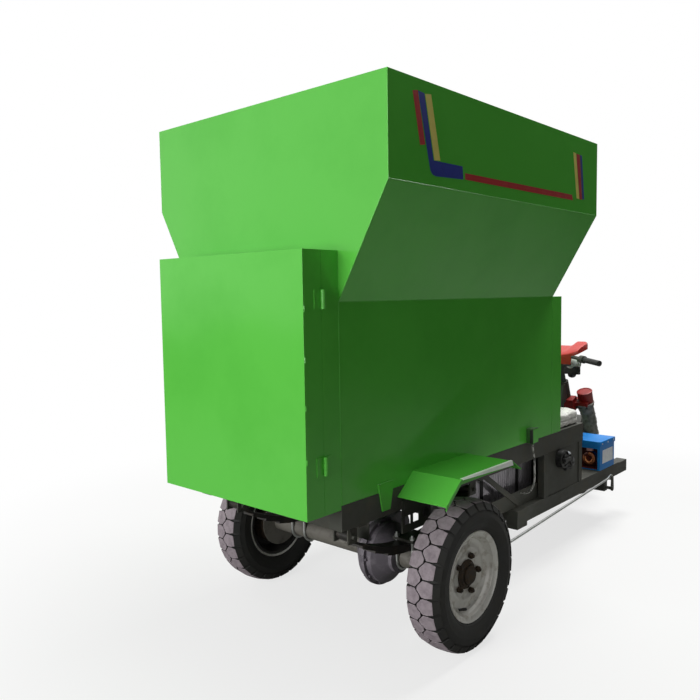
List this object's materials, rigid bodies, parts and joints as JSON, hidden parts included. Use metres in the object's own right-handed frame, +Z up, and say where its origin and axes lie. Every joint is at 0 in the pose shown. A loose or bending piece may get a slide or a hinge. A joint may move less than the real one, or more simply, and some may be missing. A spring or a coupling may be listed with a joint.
{
  "type": "electric feed cart",
  "caption": "Three-wheeled electric feed cart: a sheet-metal hopper with an auger and side discharge on a sprung rear axle, a driver's seat ahead of it and a steered front wheel.",
  "frame": {"origin": "on the ground under the middle of the cart's length and width", "axes": "+X forward, +Y to the driver's left, +Z up"},
  "size_m": [3.163, 1.216, 2.018],
  "materials": {
    "green_paint": "gloss",
    "frame_paint": "satin",
    "cast_black": "satin",
    "spring_steel": "dull",
    "fork_steel": "bright",
    "silver_paint": "satin",
    "tyre_rubber": "matte",
    "grip_rubber": "matte",
    "red_plastic": "gloss",
    "wrap_film": "matte",
    "blue_paint": "gloss",
    "battery_case": "matte",
    "black_plastic": "satin",
    "controller_alloy": "satin"
  },
  "bodies": {
    "chassis": {"auger_bearings": "cast_black", "auger_motor": "cast_black", "axle_housing": "frame_paint", "batteries": "battery_case", "battery_tray": "frame_paint", "body_left_side": "green_paint", "body_right_side": "green_paint", "charger_case": "blue_paint", "diff_housing": "cast_black", "discharge_outlet": "green_paint", "drive_chain": "spring_steel", "drive_motor": "frame_paint", "fender_left": "green_paint", "fender_right": "green_paint", "foot_platform": "frame_paint", "frame_ties": "frame_paint", "front_cover": "green_paint", "hinge_barrels": "green_paint", "hopper_front_wall": "green_paint", "hopper_left_side": "green_paint", "hopper_rear_wall": "green_paint", "hopper_right_side": "green_paint", "leaf_springs": "spring_steel", "lower_rails": "frame_paint", "motor_controller": "controller_alloy", "power_switch": "black_plastic", "rear_housing": "green_paint", "seat_box": "frame_paint", "seat_cushion": "wrap_film", "spring_clamps": "frame_paint", "spring_fittings": "frame_paint", "steering_neck": "frame_paint", "trough": "green_paint", "upper_rails": "frame_paint", "wire_harness": "grip_rubber"},
    "rear_wheel_left": {"tyre_left": "tyre_rubber", "rim_left": "silver_paint", "hub_left": "spring_steel"},
    "rear_wheel_right": {"tyre_right": "tyre_rubber", "rim_right": "silver_paint", "hub_right": "spring_steel"},
    "steering_fork": {"fork_tubes": "frame_paint", "fork_shrouds": "red_plastic", "fork_sleeves": "wrap_film", "handlebar": "frame_paint", "dash_cowl": "red_plastic", "headlight": "black_plastic"},
    "fork_lower": {"fork_sliders": "fork_steel", "front_mudguard": "frame_paint"},
    "front_wheel": {"front_tyre": "tyre_rubber", "front_rim": "silver_paint"},
    "throttle": {"throttle_grip": "grip_rubber"},
    "door": {"rear_door": "green_paint"},
    "gate": {"discharge_gate": "green_paint"},
    "auger": {"auger_screw": "spring_steel", "auger_sprocket": "spring_steel"},
    "gear_motor_output": {"motor_sprocket": "spring_steel"},
    "switch": {"switch_knob": "black_plastic"},
    "pedal": {"brake_pedal": "frame_paint"},
    "pull_rod": {"brake_rod": "spring_steel"}
  },
  "joints": [
    {"name": "rear_wheel_left_spin", "type": "hinge", "parent": "chassis", "child": "rear_wheel_left", "pos_m": [-0.9145, 0.535, 0.284], "axis": [0, 1, 0], "continuous": true},
    {"name": "rear_wheel_right_spin", "type": "hinge", "parent": "chassis", "child": "rear_wheel_right", "pos_m": [-0.9145, -0.535, 0.284], "axis": [0, 1, 0], "continuous": true},
    {"name": "steer", "type": "hinge", "parent": "chassis", "child": "steering_fork", "pos_m": [1.29989, 0, 0.23748], "axis": [-0.3681, 0, 0.9298], "range_deg": [-40, 40]},
    {"name": "fork_travel", "type": "slide", "parent": "steering_fork", "child": "fork_lower", "axis": [-0.3681, 0, 0.9298], "range_m": [0, 0.04], "stiffness_N_per_m": 60000, "springref_m": -0.06},
    {"name": "front_wheel_spin", "type": "hinge", "parent": "fork_lower", "child": "front_wheel", "pos_m": [1.3315, 0, 0.25], "axis": [0, 1, 0], "continuous": true},
    {"name": "throttle_twist", "type": "hinge", "parent": "steering_fork", "child": "throttle", "pos_m": [0.8415, -0.28991, 0.93221], "axis": [-0.5138, -0.8552, -0.068], "range_deg": [0, 70], "stiffness_Nm_per_rad": 0.4, "springref_deg": -17.19},
    {"name": "door_swing", "type": "hinge", "parent": "chassis", "child": "door", "pos_m": [-1.4999, -0.3938, 1.05], "axis": [0, 0, 1], "range_deg": [0, 110]},
    {"name": "gate_lift", "type": "slide", "parent": "chassis", "child": "gate", "axis": [0, 0, 1], "range_m": [0, 0.18]},
    {"name": "auger_turn", "type": "hinge", "parent": "chassis", "child": "auger", "pos_m": [-1.5475, 0, 0.805], "axis": [1, 0, 0], "continuous": true},
    {"name": "motor_sprocket_turn", "type": "hinge", "parent": "chassis", "child": "gear_motor_output", "pos_m": [-1.5475, 0.19, 1.07], "axis": [1, 0, 0], "continuous": true},
    {"name": "switch_turn", "type": "hinge", "parent": "chassis", "child": "switch", "pos_m": [0.2345, -0.41, 0.491], "axis": [0, -1, 0], "range_deg": [0, 90]},
    {"name": "pedal_press", "type": "hinge", "parent": "chassis", "child": "pedal", "pos_m": [0.8305, -0.09, 0.213], "axis": [0, 1, 0], "range_deg": [0, 18], "stiffness_Nm_per_rad": 20, "springref_deg": -11.46},
    {"name": "brake_rod_pull", "type": "slide", "parent": "chassis", "child": "pull_rod", "axis": [1, 0, 0], "range_m": [0, 0.0202]}
  ],
  "couplings": [
    {"joint": "motor_sprocket_turn", "follows": "auger_turn", "ratio": 2},
    {"joint": "brake_rod_pull", "follows": "pedal_press", "m_per_rad": 0.064}
  ]
}
